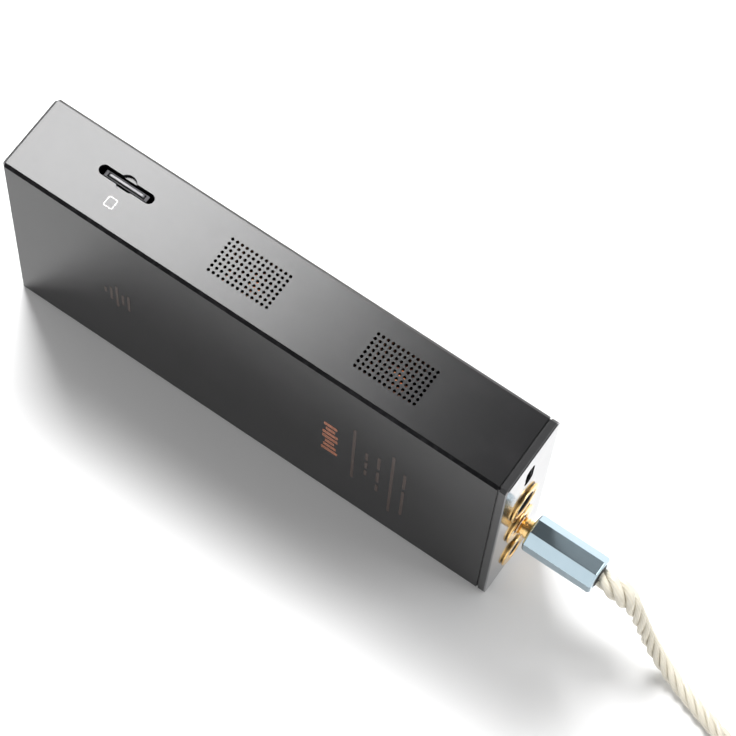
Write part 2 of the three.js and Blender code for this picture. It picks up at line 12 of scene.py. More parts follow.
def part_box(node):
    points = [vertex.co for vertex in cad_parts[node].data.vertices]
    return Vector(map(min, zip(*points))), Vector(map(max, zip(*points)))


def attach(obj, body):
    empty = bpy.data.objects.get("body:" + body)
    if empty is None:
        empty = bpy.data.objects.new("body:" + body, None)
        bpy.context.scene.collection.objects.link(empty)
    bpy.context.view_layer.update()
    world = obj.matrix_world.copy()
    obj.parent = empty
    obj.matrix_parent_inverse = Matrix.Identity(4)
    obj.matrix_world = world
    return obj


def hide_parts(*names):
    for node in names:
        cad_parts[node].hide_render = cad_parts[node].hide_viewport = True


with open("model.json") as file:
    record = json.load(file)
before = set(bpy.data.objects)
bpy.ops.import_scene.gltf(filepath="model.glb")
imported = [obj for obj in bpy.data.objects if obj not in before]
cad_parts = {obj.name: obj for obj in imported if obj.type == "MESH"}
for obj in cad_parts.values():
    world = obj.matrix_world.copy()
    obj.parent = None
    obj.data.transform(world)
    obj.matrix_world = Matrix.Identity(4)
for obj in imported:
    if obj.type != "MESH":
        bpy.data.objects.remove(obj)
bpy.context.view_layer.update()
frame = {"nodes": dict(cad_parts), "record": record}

bl_info = {
    "name": "Slim DAC looks",
    "version": (1, 0, 0),
    "blender": (4, 5, 0),
    "location": "View3D > Sidebar > Slim DAC",
    "description": "Builds the visible pieces and finishes of a slim vented DAC and its lead",
    "category": "Object",
}

MM = 0.001
RECORD = frame["record"]
BODY_OF = {node: body for body, nodes in RECORD["behaviour"]["bodies"].items() for node in nodes}
SLOT_OF = {part["node"]: part["material_slot"] for part in RECORD["subparts"]}


def corners(node):
    """Lowest and highest corner of a node of the frame, in millimetres."""
    low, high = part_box(node)
    return Vector(low) / MM, Vector(high) / MM


def middle(node):
    low, high = corners(node)
    return (low + high) / 2


def radius_of(node):
    """Half of a node's width across Y."""
    low, high = corners(node)
    return (high.y - low.y) / 2


# ---------------------------------------------------------------- sizes that a user would change


class CaseSettings(PropertyGroup):
    edge_chamfer: FloatProperty(
        name="Edge chamfer", description="Straight chamfer along the edges of the case",
        default=0.9 * MM, unit="LENGTH")
    groove_lip: FloatProperty(
        name="Groove lip", description="How far the case reaches into the groove before its end",
        default=0.45 * MM, unit="LENGTH")
    groove_depth: FloatProperty(
        name="Groove depth", description="Depth of the groove round the socket end",
        default=0.45 * MM, unit="LENGTH")
    rim_break: FloatProperty(
        name="Rim break", description="Small chamfer round every hole and cut",
        default=0.06 * MM, unit="LENGTH")
    vent_pitch: FloatProperty(
        name="Vent pitch", description="Distance between neighbouring vent holes",
        default=1.5 * MM, unit="LENGTH")
    vent_radius: FloatProperty(
        name="Vent radius", description="Radius of one vent hole", default=0.47 * MM, unit="LENGTH")
    vent_columns: IntProperty(name="Vent columns", description="Holes along the case", default=13)
    vent_rows: IntProperty(name="Vent rows", description="Holes across the case", default=8)
    black: FloatVectorProperty(
        name="Case black", description="Colour of the anodised case", subtype="COLOR",
        size=4, default=(0.006, 0.006, 0.0065, 1))
    print_copper: FloatVectorProperty(
        name="Print copper", description="Colour of the printed ornament", subtype="COLOR",
        size=4, default=(0.40, 0.15, 0.085, 1))


class LeadSettings(PropertyGroup):
    diameter: FloatProperty(
        name="Lead diameter", description="Over the four twisted strands", default=4.4 * MM,
        unit="LENGTH")
    twist: FloatProperty(
        name="Twist", description="Length in which a strand goes once round", default=17 * MM,
        unit="LENGTH")
    splay: FloatProperty(
        name="Splay", description="How far the strands stand apart behind the plug",
        default=0.85 * MM, unit="LENGTH")
    barrel: FloatVectorProperty(
        name="Barrel colour", description="Colour of the plugs' eight-sided barrels",
        subtype="COLOR", size=4, default=(0.48, 0.60, 0.67, 1))
    strand: FloatVectorProperty(
        name="Strand colour", description="Colour of the plated strands", subtype="COLOR",
        size=4, default=(0.70, 0.665, 0.565, 1))


class StudioSettings(PropertyGroup):
    key: FloatProperty(
        name="Key light", description="Power of the large light behind the case", default=7.1)
    fill: FloatProperty(
        name="Fill light", description="Power of the light on the socket side", default=4.0)
    surround: FloatProperty(
        name="Surround", description="Brightness of the studio's walls", default=1.2)


# ---------------------------------------------------------------- modelling helpers


def deselect():
    bpy.ops.object.select_all(action="DESELECT")


def only(piece):
    deselect()
    piece.select_set(True)
    bpy.context.view_layer.objects.active = piece


def settle(piece):
    """Moves a piece's place into its mesh, so that its object sits at the origin."""
    only(piece)
    bpy.ops.object.transform_apply(location=True, rotation=True, scale=True)
    return piece


def named(name):
    """Names the object that an operator has just made."""
    piece = bpy.context.object
    piece.name = piece.data.name = name
    return piece


def block(name, low, high):
    """Box between two corners, in millimetres."""
    low, high = Vector(low) * MM, Vector(high) * MM
    deselect()
    bpy.ops.mesh.primitive_cube_add(size=1, location=(low + high) / 2, scale=high - low)
    return settle(named(name))


TURN = {"X": (0, math.pi / 2, 0), "Y": (math.pi / 2, 0, 0), "Z": (0, 0, 0)}


def rod(name, radius, axis, start, end, centre, sides=48):
    """Round bar along an axis from start to end, its other two places taken from centre."""
    place = Vector(centre)
    place["XYZ".index(axis)] = (start + end) / 2
    deselect()
    bpy.ops.mesh.primitive_cylinder_add(
        vertices=sides, radius=radius * MM, depth=abs(end - start) * MM,
        location=place * MM, rotation=TURN[axis])
    return settle(named(name))


def in_edit_mode(piece):
    only(piece)
    bpy.ops.object.mode_set(mode="EDIT")


def out_of_edit_mode():
    bpy.ops.object.mode_set(mode="OBJECT")


def pick(piece, test):
    """Selects the edges of a piece in edit mode that pass the test."""
    bpy.ops.mesh.select_mode(type="EDGE")
    shape = bmesh.from_edit_mesh(piece.data)
    for item in [*shape.verts, *shape.edges, *shape.faces]:
        item.select_set(False)
    chosen = [edge for edge in shape.edges if test(edge)]
    for edge in chosen:
        edge.select_set(True)
    if not chosen:
        raise RuntimeError(f"nothing was picked on {piece.name}")
    bmesh.update_edit_mesh(piece.data)


def bevel_picked(piece, test, width, segments=1):
    """Bevels the edges of a piece that pass the test, by a width in millimetres."""
    in_edit_mode(piece)
    pick(piece, test)
    bpy.ops.mesh.bevel(offset=width * MM, segments=segments, affect="EDGES")
    out_of_edit_mode()


def along(axis):
    """Test for an edge that runs along an axis."""
    i = "XYZ".index(axis)

    def test(edge):
        way = (edge.verts[1].co - edge.verts[0].co).normalized()
        return abs(way[i]) > 0.999

    return test


def capsule(name, low, high, axis, radius, segments=8):
    """Box whose four edges along an axis are rounded to a radius."""
    piece = block(name, low, high)
    in_edit_mode(piece)
    pick(piece, along(axis))
    bpy.ops.mesh.bevel(offset=radius * MM, segments=segments, affect="EDGES")
    bpy.ops.mesh.select_all(action="SELECT")
    bpy.ops.mesh.remove_doubles(threshold=0.002 * MM)
    out_of_edit_mode()
    return piece


def turned(name, axis, steps, centre, sides=64, through=False):
    """Turned piece from pairs of place along the axis and radius. Through leaves it open inside."""
    i = "XYZ".index(axis)
    place = Vector(centre)
    place[i] = steps[0][0]
    deselect()
    bpy.ops.mesh.primitive_circle_add(
        vertices=sides, radius=steps[0][1] * MM, location=place * MM, rotation=TURN[axis],
        fill_type="NOTHING" if through else "NGON")
    piece = settle(named(name))
    in_edit_mode(piece)
    bpy.ops.mesh.select_all(action="SELECT")
    for (start, radius), (end, new_radius) in zip(steps, steps[1:]):
        shift = [0, 0, 0]
        shift[i] = (end - start) * MM
        bpy.ops.mesh.extrude_region_move(TRANSFORM_OT_translate={"value": shift})
        if new_radius != radius:
            place[i] = end
            grow = [new_radius / radius] * 3
            grow[i] = 1
            bpy.ops.transform.resize(value=grow, center_override=place * MM)
    bpy.ops.mesh.select_all(action="SELECT")
    bpy.ops.mesh.remove_doubles(threshold=0.0005 * MM)
    bpy.ops.mesh.normals_make_consistent(inside=False)
    out_of_edit_mode()
    return piece


def use(piece, kind, **settings):
    """Adds a modifier, sets it and applies it."""
    only(piece)
    modifier = piece.modifiers.new(kind.title(), kind)
    for setting, value in settings.items():
        setattr(modifier, setting, value)
    bpy.ops.object.modifier_apply(modifier=modifier.name)
    return piece


def carve(piece, *tools, operation="DIFFERENCE"):
    """Cuts each tool out of a piece, or with UNION adds it, and removes the tool."""
    for tool in tools:
        use(piece, "BOOLEAN", operation=operation, solver="EXACT", object=tool)
        bpy.data.objects.remove(tool)
    return piece


def soften(piece, width, segments=1, angle=30):
    """Breaks every edge sharper than the angle, in millimetres and degrees."""
    return use(
        piece, "BEVEL", width=width * MM, segments=segments, limit_method="ANGLE",
        angle_limit=math.radians(angle), use_clamp_overlap=True, harden_normals=False)


def copied(name, node):
    """A merged copy of a frame node, ready to be shaped."""
    deselect()
    source = frame["nodes"][node]
    piece = bpy.data.objects.new(name, source.data.copy())
    piece.data.name = name
    piece.data.materials.clear()
    bpy.context.scene.collection.objects.link(piece)
    in_edit_mode(piece)
    bpy.ops.mesh.select_all(action="SELECT")
    bpy.ops.mesh.remove_doubles(threshold=0.0005 * MM)
    bpy.ops.mesh.dissolve_limited(angle_limit=math.radians(1))
    out_of_edit_mode()
    return piece


def joined(name, pieces):
    """One piece out of several."""
    deselect()
    for piece in pieces:
        piece.select_set(True)
    bpy.context.view_layer.objects.active = pieces[0]
    if len(pieces) > 1:
        bpy.ops.object.join()
    return named(name)


def finished(piece, look, *nodes, body=None, slot=None, angle=30, weighted=True):
    """Gives a piece its finish, its body and the frame nodes that it stands for; the slot is not
    used.
    """
    if len(piece.data.polygons) < 6:
        raise RuntimeError(f"{piece.name} has lost its shape")
    only(piece)
    bpy.ops.object.shade_smooth_by_angle(angle=math.radians(angle))
    if weighted:
        use(piece, "WEIGHTED_NORMAL", keep_sharp=True, weight=100)
    piece.data.materials.clear()
    piece.data.materials.append(finish(look))
    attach(piece, body or BODY_OF[nodes[0]])
    if nodes:
        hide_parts(*nodes)
    return piece


def turned_part(node, look, steps, sides=64, through=False):
    """A finished piece, turned round X, that stands for a node."""
    piece = turned(f"{node}_look", "X", steps, middle(node), sides, through)
    return finished(piece, look, node)


def softened_copy(node, look, width, segments=1):
    """A finished piece with a node's own shape and its edges broken."""
    return finished(soften(copied(f"{node}_look", node), width, segments), look, node)


def on_case(piece, look, slot="black_anodised"):
    """Finishes a piece that stands for no node and stays with the case."""
    return finished(piece, look, body="dac", slot=slot)


# ---------------------------------------------------------------- finishes


class Value:
    """A shader socket that takes part in sums."""

    def __init__(self, maker, socket):
        self.maker, self.socket = maker, socket

    def _sum(self, operation, first, second):
        return self.maker.node(
            "ShaderNodeMath", {"operation": operation}, {0: first, 1: second})[0]

    def __add__(self, other):
        return self._sum("ADD", self, other)

    def __sub__(self, other):
        return self._sum("SUBTRACT", self, other)

    def __rsub__(self, other):
        return self._sum("SUBTRACT", other, self)

    def __mul__(self, other):
        return self._sum("MULTIPLY", self, other)

    def __gt__(self, other):
        return self._sum("GREATER_THAN", self, other)

    def __lt__(self, other):
        return self._sum("LESS_THAN", self, other)

    __radd__ = __add__
    __rmul__ = __mul__

    def size(self):
        return self._sum("ABSOLUTE", self, 0)

    def fraction(self):
        return self._sum("FRACT", self, 0)


class Outputs:
    """The output sockets of a node, by name or number, as values."""

    def __init__(self, maker, node):
        self.maker, self.node = maker, node

    def __getitem__(self, key):
        return Value(self.maker, self.node.outputs[key])


class Maker:
    """Makes the nodes of one finish."""

    def __init__(self, name):
        self.material = bpy.data.materials.new(name)
        self.material.use_nodes = True
        self.tree = self.material.node_tree
        self.shader = self.tree.nodes["Principled BSDF"]

    def node(self, kind, settings=None, sockets=None):
        made = self.tree.nodes.new(kind)
        for setting, value in (settings or {}).items():
            if setting == "stops":
                stops = made.color_ramp.elements
                while len(stops) < len(value):
                    stops.new(0.5)
                for stop, (place, shade) in zip(stops, value):
                    stop.position, stop.color = place, shade
            else:
                setattr(made, setting, value)
        for key, value in (sockets or {}).items():
            self.feed(made.inputs[key], value)
        return Outputs(self, made)

    def feed(self, socket, value):
        """Links a value to a socket, or sets the socket to a plain number or colour."""
        if isinstance(value, Value):
            self.tree.links.new(value.socket, socket)
        else:
            socket.default_value = value

    def set(self, **values):
        """Feeds the shader's sockets: base_color is Base Color, and so on."""
        for key, value in values.items():
            socket = "IOR" if key == "ior" else key.replace("_", " ").title()
            self.feed(self.shader.inputs[socket], value)

    def place(self, scale=(1, 1, 1)):
        """Object coordinates in millimetres, stretched by a scale."""
        here = self.node("ShaderNodeTexCoord")["Object"]
        return self.node(
            "ShaderNodeMapping", {}, {"Vector": here, "Scale": [s / MM for s in scale]})["Vector"]

    def axis(self, letter):
        return self.node("ShaderNodeSeparateXYZ", {}, {0: self.place()})[letter]

    def noise(self, scale, detail=3, roughness=0.5, where=None):
        """Noise from 0 to 1 with features about 1/scale millimetres across."""
        return self.node("ShaderNodeTexNoise", {}, {
            "Vector": where or self.place(), "Scale": scale, "Detail": detail,
            "Roughness": roughness})["Fac"]

    def ramp(self, value, low, high, start=0, end=1):
        """Maps value from low..high to start..end, clamped and smooth."""
        return self.node("ShaderNodeMapRange", {"interpolation_type": "SMOOTHSTEP"}, {
            "Value": value, "From Min": low, "From Max": high, "To Min": start,
            "To Max": end})["Result"]

    def blend(self, share, first, second):
        """A colour between two, by a share."""
        return self.node("ShaderNodeMix", {"data_type": "RGBA"}, {
            0: share, 6: first, 7: second})[2]

    def bump(self, height, distance):
        """Raises the surface by a height from 0 to 1 of a distance in millimetres."""
        self.set(normal=self.node("ShaderNodeBump", {}, {
            "Height": height, "Distance": distance * MM, "Strength": 1.0})["Normal"])
        return self


def shade(red, green=None, blue=None):
    """A colour with its alpha, grey where only one share is given."""
    if green is None:
        green = blue = red
    return (red, green, blue, 1)


def case_wear(maker):
    """How near a point is to the long edges of the case, 0 to 1, broken up by noise."""
    low, high = corners("case_sleeve")
    chamfer = bpy.context.scene.dac_case.edge_chamfer / MM
    y = maker.axis("Y").size()
    z = (maker.axis("Z") - (low.z + high.z) / 2).size()
    near = y - high.y + z - (high.z - low.z) / 2
    edge = maker.ramp(near, -chamfer - 0.12, -chamfer + 0.02)
    return edge * maker.ramp(maker.noise(0.9, 4, 0.6), 0.45, 0.75) * 0.35


def cut_edges(maker):
    """1 on the chamfers and hole rims, whose normals lie between the axes, and 0 on flat faces.
    Used to make them metallic and almost black: painted shade.
    """
    normal = maker.node("ShaderNodeTexCoord")["Normal"]
    split = maker.node("ShaderNodeSeparateXYZ", {}, {0: normal})
    most = split["X"].size()
    for letter in "YZ":
        most = maker.node("ShaderNodeMath", {"operation": "MAXIMUM"}, {
            0: most, 1: split[letter].size()})[0]
    return maker.ramp(most, 0.97, 0.85)


def case_black():
    maker = Maker("case_black")
    black = bpy.context.scene.dac_case.black
    wear = case_wear(maker)
    cloud = maker.ramp(maker.noise(0.06, 4), 0.35, 0.7)
    grain = maker.noise(9, 2, 0.6)
    touched = maker.ramp(maker.noise(0.12, 5, 0.65), 0.55, 0.75)
    base = maker.blend(cloud, black, shade(0.010, 0.0095, 0.0105))
    base = maker.blend(wear, base, shade(0.06, 0.06, 0.063))
    # Metallic on the chamfers and hole rims takes away their sheen and leaves them almost black:
    # painted shade in place of the dark surroundings that they reflect.
    maker.set(
        base_color=base, metallic=cut_edges(maker) * 0.9, ior=1.3,
        roughness=0.21 + grain * 0.05 + touched * 0.015 - wear * 0.05)
    return maker.bump(grain, 0.006)


def polished_plate():
    maker = Maker("polished_plate")
    cloud = maker.ramp(maker.noise(0.15, 4), 0.3, 0.7)
    scuff = maker.noise(0.8, 6, 0.7, maker.place((1, 1, 0.08)))
    face = corners("port_end_plate")[1].x
    rim = maker.ramp(maker.axis("X"), face - 0.55, face - 0.35)
    base = maker.blend(cloud, shade(0.27, 0.27, 0.28), shade(0.32, 0.32, 0.33))
    base = maker.blend(rim, shade(0.016, 0.016, 0.017), base)
    maker.set(base_color=base, metallic=rim, ior=1.4,
              roughness=maker.ramp(rim, 0, 1, 0.22, 0.09) + scuff * 0.05)
    return maker.bump(scuff, 0.002)


def gold_plate():
    maker = Maker("gold_plate")
    cloud = maker.ramp(maker.noise(0.5, 4), 0.3, 0.7)
    lines = maker.noise(3, 4, 0.6, maker.place((8, 0.3, 0.3)))
    maker.set(base_color=maker.blend(cloud, shade(0.86, 0.55, 0.20), shade(0.95, 0.66, 0.30)),
              metallic=1.0, roughness=0.13 + lines * 0.12)
    return maker.bump(lines, 0.003)


# Brushed metals: two shades, the least roughness, and the stretch and fineness of the brushing.
METALS = {
    "plated_steel": ((0.50, 0.51, 0.52), (0.60, 0.60, 0.61), 0.24, (1, 1, 6), 4),
    "card_steel": ((0.02, 0.02, 0.021), (0.033, 0.033, 0.034), 0.40, (6, 1, 1), 3),
    "anode_grey": ((0.10, 0.10, 0.11), (0.16, 0.16, 0.17), 0.45, (1, 1, 1), 4),
}


def brushed_metal(name):
    first, second, roughness, stretch, fineness = METALS[name]
    maker = Maker(name)
    cloud = maker.ramp(maker.noise(0.4, 4), 0.3, 0.7)
    brushed = maker.noise(fineness, 4, 0.6, maker.place(stretch))
    maker.set(base_color=maker.blend(cloud, shade(*first), shade(*second)), metallic=1.0,
              roughness=roughness + brushed * 0.12)
    return maker.bump(brushed, 0.003)


# Moulded or coated finishes: two shades, the least roughness, and the fineness, depth in
# millimetres and metallic share of the texture.
COATINGS = {
    "moulded_black": ((0.012, 0.012, 0.012), (0.020, 0.020, 0.021), 0.38, 6, 0.01, 0),
    "battery_foil": ((0.20, 0.23, 0.27), (0.27, 0.30, 0.34), 0.30, 1.5, 0.05, 0.5),
    "collar_rubber": ((0.24, 0.05, 0.03), (0.30, 0.07, 0.04), 0.7, 6, 0.01, 0),
    "pad_foam": ((0.02, 0.02, 0.024), (0.05, 0.05, 0.055), 0.9, 3, 0.2, 0),
    "core_ferrite": ((0.03, 0.03, 0.034), (0.06, 0.06, 0.06), 0.6, 6, 0.01, 0),
    "card_plastic": ((0.14, 0.14, 0.15), (0.20, 0.20, 0.21), 0.4, 6, 0.01, 0),
    "mica_white": ((0.55, 0.50, 0.40), (0.68, 0.62, 0.50), 0.3, 6, 0.01, 0),
}


def coating(name):
    first, second, roughness, fineness, depth, metallic = COATINGS[name]
    maker = Maker(name)
    texture = maker.noise(fineness, 3, 0.6)
    cloud = maker.ramp(maker.noise(0.3, 4), 0.35, 0.7)
    maker.set(base_color=maker.blend(cloud, shade(*first), shade(*second)),
              roughness=roughness + texture * 0.1, metallic=metallic)
    return maker.bump(texture, depth)


def strap_black():
    maker = Maker("strap_black")
    ribs = (maker.axis("Z") * 1.6).fraction() > 0.5
    cloth = maker.noise(8, 3, 0.7)
    maker.set(base_color=maker.blend(cloth, shade(0.010), shade(0.030)), roughness=0.75)
    return maker.bump(ribs * 0.4 + cloth, 0.04)


def board_green():
    maker = Maker("board_green")
    cell = maker.node("ShaderNodeTexVoronoi", {"distance": "CHEBYCHEV", "feature": "F1"}, {
        "Vector": maker.place((1, 0.2, 1)), "Scale": 0.45, "Randomness": 0.8})["Distance"]
    track = maker.ramp(cell, 0.42, 0.47) * maker.ramp(cell, 0.56, 0.51)
    maker.set(base_color=maker.blend(track, shade(0.008, 0.045, 0.026), shade(0.03, 0.13, 0.07)),
              roughness=0.38 + maker.noise(2) * 0.1)
    return maker.bump(track, 0.03)


def tube_glass():
    maker = Maker("tube_glass")
    smear = maker.ramp(maker.noise(0.3, 4), 0.4, 0.7)
    maker.set(base_color=maker.blend(smear, shade(0.70, 0.72, 0.74), shade(0.80, 0.80, 0.80)),
              roughness=0.04 + smear * 0.06, alpha=0.12 + smear * 0.08)
    return maker.bump(smear, 0.01)


def heater_glow():
    maker = Maker("heater_glow")
    spots = maker.ramp(maker.noise(1.2, 3), 0.3, 0.7)
    maker.set(base_color=shade(0.5, 0.12, 0.03), roughness=0.6 + spots * 0.1,
              emission_color=maker.blend(spots, shade(1.0, 0.26, 0.10), shade(1.0, 0.45, 0.18)),
              emission_strength=0.9)
    return maker.bump(spots, 0.01)


def barrel_blue():
    maker = Maker("barrel_blue")
    colour = bpy.context.scene.dac_lead.barrel
    brushed = maker.noise(5, 4, 0.6, maker.place((0.25, 2.5, 2.5)))
    cloud = maker.ramp(maker.noise(0.25, 4), 0.3, 0.7)
    base = maker.blend(cloud * 0.5, colour, shade(0.44, 0.56, 0.63))
    maker.set(base_color=base, metallic=1.0, roughness=0.15 + brushed * 0.08)
    return maker.bump(brushed, 0.004)


def strand_silver():
    """Plated wires under a clear sleeve: fine slanting lines that follow each strand."""
    maker = Maker("strand_silver")
    colour = bpy.context.scene.dac_lead.strand
    way = maker.node("ShaderNodeSeparateXYZ", {}, {
        0: maker.node("ShaderNodeUVMap", {"uv_map": "strand"})["UV"]})
    lay = (way["X"] * 0.55 + way["Y"] * 9).fraction()
    ridge = maker.ramp((lay - 0.5).size(), 0.08, 0.45)
    dirt = maker.ramp(maker.noise(0.5, 4), 0.45, 0.75)
    # The grooves between the wires are painted a little darker and browner: painted shade in the
    # grooves.
    base = maker.blend(ridge, colour, shade(0.68, 0.63, 0.52))
    base = maker.blend(dirt * 0.3, base, shade(0.78, 0.73, 0.60))
    maker.set(base_color=base, metallic=0.0, roughness=0.30 + ridge * 0.2, coat_weight=0.5,
              coat_roughness=0.12)
    return maker.bump(1 - ridge, 0.06)


def printed(name, colour, roughness, metallic):
    maker = Maker(name)
    thin = maker.ramp(maker.noise(2.5, 5, 0.7), 0.32, 0.55)
    maker.set(base_color=maker.blend(thin, shade(0.02, 0.016, 0.015), colour),
              metallic=metallic, roughness=roughness + thin * 0.1)
    return maker.bump(thin, 0.01)


def print_copper():
    return printed("print_copper", bpy.context.scene.dac_case.print_copper, 0.4, 0.5)


def print_faint():
    return printed("print_faint", shade(0.055, 0.035, 0.028), 0.4, 0.3)


def print_white():
    return printed("print_white", shade(0.85), 0.5, 0.0)


LOOKS = {look.__name__: look for look in (
    case_black, polished_plate, gold_plate, strap_black, board_green, tube_glass, heater_glow,
    barrel_blue, strand_silver, print_copper, print_faint, print_white)}
LOOK_OF_SLOT = {
    "black_anodised": "case_black", "polished_plate": "polished_plate", "gold": "gold_plate",
    "steel": "plated_steel", "black_plastic": "moulded_black", "circuit_board": "board_green",
    "tube_glass": "tube_glass", "silicone": "collar_rubber", "blue_aluminium": "barrel_blue",
    "lead_sleeve": "strand_silver", "battery_wrap": "battery_foil", "foam": "pad_foam",
    "ferrite": "core_ferrite",
}
MADE = {}


def finish(look):
    """The material of a look, made the first time that it is asked for."""
    if look not in MADE:
        if look in METALS:
            maker = brushed_metal(look)
        elif look in COATINGS:
            maker = coating(look)
        else:
            maker = LOOKS[look]()
        MADE[look] = maker.material
    return MADE[look]


# ---------------------------------------------------------------- studio and camera


# Each light's place, the point it is aimed at, and its width and height, in metres.
LIGHTS = {
    "key": ((-0.268, 0.24, 0.66), (0, 0, 0), (0.24, 0.205)),
    "fill": ((0.75, 0.35, 0.8), (0.05, 0, 0), (0.5, 0.5)),
}
# The studio's walls go from white low down to dark overhead.
WALL_SHADES = {"From Min": 0.35, "From Max": 0.8, "To Min": 1.0, "To Max": 0.12}
FLOOR_SIZE, FLOOR_DROP = 6, 0.0001
LENS, SENSOR = 142.118, 36.0
# The camera's place in millimetres and the directions of its right, down and line of sight.
CAMERA_PLACE = (172.13, -252.46, 739.29)
CAMERA_RIGHT = (0.82104329, 0.56957368, 0.03838931)
CAMERA_DOWN = (0.53643977, -0.74678405, -0.39312335)
CAMERA_AHEAD = (-0.19524419, 0.34336484, -0.918684)


def softbox(name, power):
    """A rectangular light, aimed at its target."""
    place, target, size = LIGHTS[name]
    light = bpy.data.lights.new(f"{name}_softbox", "AREA")
    light.shape = "RECTANGLE"
    light.size, light.size_y = size
    light.energy = power
    lamp = bpy.data.objects.new(light.name, light)
    lamp.location = place
    way = Vector(target) - Vector(place)
    lamp.rotation_euler = way.to_track_quat("-Z", "Y").to_euler()
    bpy.context.scene.collection.objects.link(lamp)


class StageOperator(Operator):
    """Sets up the floor, the studio light and the camera"""

    bl_idname = "slim_dac.stage"
    bl_label = "Stage and camera"

    def execute(self, context):
        studio = context.scene.dac_studio
        deselect()
        bpy.ops.mesh.primitive_plane_add(size=FLOOR_SIZE, location=(0.05, 0, -FLOOR_DROP))
        floor = settle(named("studio_floor"))
        paper = Maker("studio_paper")
        tone = paper.noise(0.004, 3)
        paper.set(base_color=paper.blend(tone, shade(0.86), shade(0.90)), roughness=0.9)
        paper.bump(paper.noise(1.5), 0.01)
        floor.data.materials.append(paper.material)

        camera = bpy.data.cameras.new("product_camera")
        camera.lens, camera.sensor_width = LENS, SENSOR
        camera.clip_start, camera.clip_end = 0.05, 20
        stand = bpy.data.objects.new("product_camera", camera)
        right, down, ahead = (Vector(v) for v in (CAMERA_RIGHT, CAMERA_DOWN, CAMERA_AHEAD))
        turn = Matrix((right, -down, -ahead)).transposed().to_4x4()
        stand.matrix_world = Matrix.Translation(Vector(CAMERA_PLACE) * MM) @ turn
        context.scene.collection.objects.link(stand)
        context.scene.camera = stand
        context.scene.view_settings.view_transform = "Standard"

        world = bpy.data.worlds.new("studio_walls")
        context.scene.world = world
        world.use_nodes = True
        nodes, links = world.node_tree.nodes, world.node_tree.links
        where = nodes.new("ShaderNodeTexCoord")
        split = nodes.new("ShaderNodeSeparateXYZ")
        walls = nodes.new("ShaderNodeMapRange")
        links.new(where.outputs["Generated"], split.inputs[0])
        links.new(split.outputs["Z"], walls.inputs["Value"])
        for socket, value in WALL_SHADES.items():
            walls.inputs[socket].default_value = value
        background = nodes["Background"]
        links.new(walls.outputs["Result"], background.inputs["Color"])
        background.inputs["Strength"].default_value = studio.surround

        softbox("key", studio.key)
        softbox("fill", studio.fill)
        return {"FINISHED"}


# ---------------------------------------------------------------- lead

# All in millimetres. The lead goes from the plug down to the floor, winds eight turns of a hank,
# and comes back over the top to the far plug. CORD_ROUTE is the way along X from the entry, the
# share of the way across to the hank, and the share of the entry's height. TAIL_ROUTE is the way
# before the far plug and the share of the way back to the hank.
CORD_ENTRY = (103.4, 0.0, 28.6)
HANK_X, HANK_HALF = 193.2, 18.5
INNER_FOLD, OUTER_FOLD = 8.8, 13.2
LOWEST_TURN, LAYER_RISE = 3.15, 4.43
TURN_RADII = (OUTER_FOLD, INNER_FOLD, INNER_FOLD, OUTER_FOLD) * 2
CORD_LIES = 2.6
CORD_ROUTE = [
    (0.9, 0, 1), (4.1, 0, 0.996), (7.6, 0, 0.946), (10.8, 0.008, 0.831), (13.4, 0.023, 0.681),
    (15.8, 0.045, 0.508), (18.6, 0.076, 0.331), (22.2, 0.13, 0.177), (26.6, 0.215, 0.069),
    (31.6, 0.33, 0.019), (37.6, 0.475, 0.004), (44.1, 0.63, 0), (50.6, 0.77, 0.004),
    (57.6, 0.89, 0.0115), (64.6, 0.965, 0.019)]
TOP_TURN = 21.0
TAIL_ROUTE = [(13, 0.83), (9, 0.52), (5, 0.17), (2.6, 0.02), (0.9, 0)]
FAR_ENTRY = (190.7, -11.0, 24.989)
LEAD_LENGTH = 1.25  # metres
LENGTH_ERROR = 0.02
SPLAY_MIDDLE, SPLAY_REACH, SPLAY_SWELL = 6.5, 5.5, 0.6
STRANDS, STRAND_SIDES = 4, 8
TIE_THICKNESS, TIE_CORNER, TIE_INNER_CORNER = 0.6, 1.6, 1.1


def eased(share):
    """A share from 0 to 1 that starts and ends slowly."""
    share = min(max(share, 0), 1)
    return share * share * (3 - 2 * share)


def hank_turn(number):
    """Points of one turn of the hank, against the clock from the near end of its front run."""
    radius = TURN_RADII[number]
    last = number == len(TURN_RADII) - 1
    next_radius = radius if last else TURN_RADII[number + 1]
    z = LOWEST_TURN + LAYER_RISE * (number // 2)
    next_z = TOP_TURN if last else LOWEST_TURN + LAYER_RISE * ((number + 1) // 2)
    points = []
    for x in (-HANK_HALF, -HANK_HALF / 3, HANK_HALF / 3):
        points.append((HANK_X + x, -radius, z))
    for step in range(7):
        angle = math.pi * (step / 6 - 0.5)
        points.append((HANK_X + HANK_HALF + radius * math.cos(angle), radius * math.sin(angle), z))
    for x in (HANK_HALF / 3, -HANK_HALF / 3):
        points.append((HANK_X + x, radius, z))
    for step in range(6):
        angle = math.pi * (step / 6 + 0.5)
        now = radius + (next_radius - radius) * eased(step / 6)
        points.append((HANK_X - HANK_HALF + now * math.cos(angle), now * math.sin(angle),
                       z + (next_z - z) * eased(step / 6)))
    return points


def lead_route():
    """Points of the lead's middle line, in millimetres, from the plug to the far plug."""
    x, _, z = CORD_ENTRY
    points = [CORD_ENTRY] + [
        (x + along, -share * OUTER_FOLD, CORD_LIES + up * (z - CORD_LIES))
        for along, share, up in CORD_ROUTE]
    for number in range(len(TURN_RADII)):
        points += hank_turn(number)
    fx, fy, fz = FAR_ENTRY
    points.append((HANK_X - HANK_HALF, -OUTER_FOLD, TOP_TURN))
    points += [(fx - back, fy - share * (fy + OUTER_FOLD), fz + share * (TOP_TURN - fz))
               for back, share in TAIL_ROUTE]
    return np.array(points + [FAR_ENTRY], float)


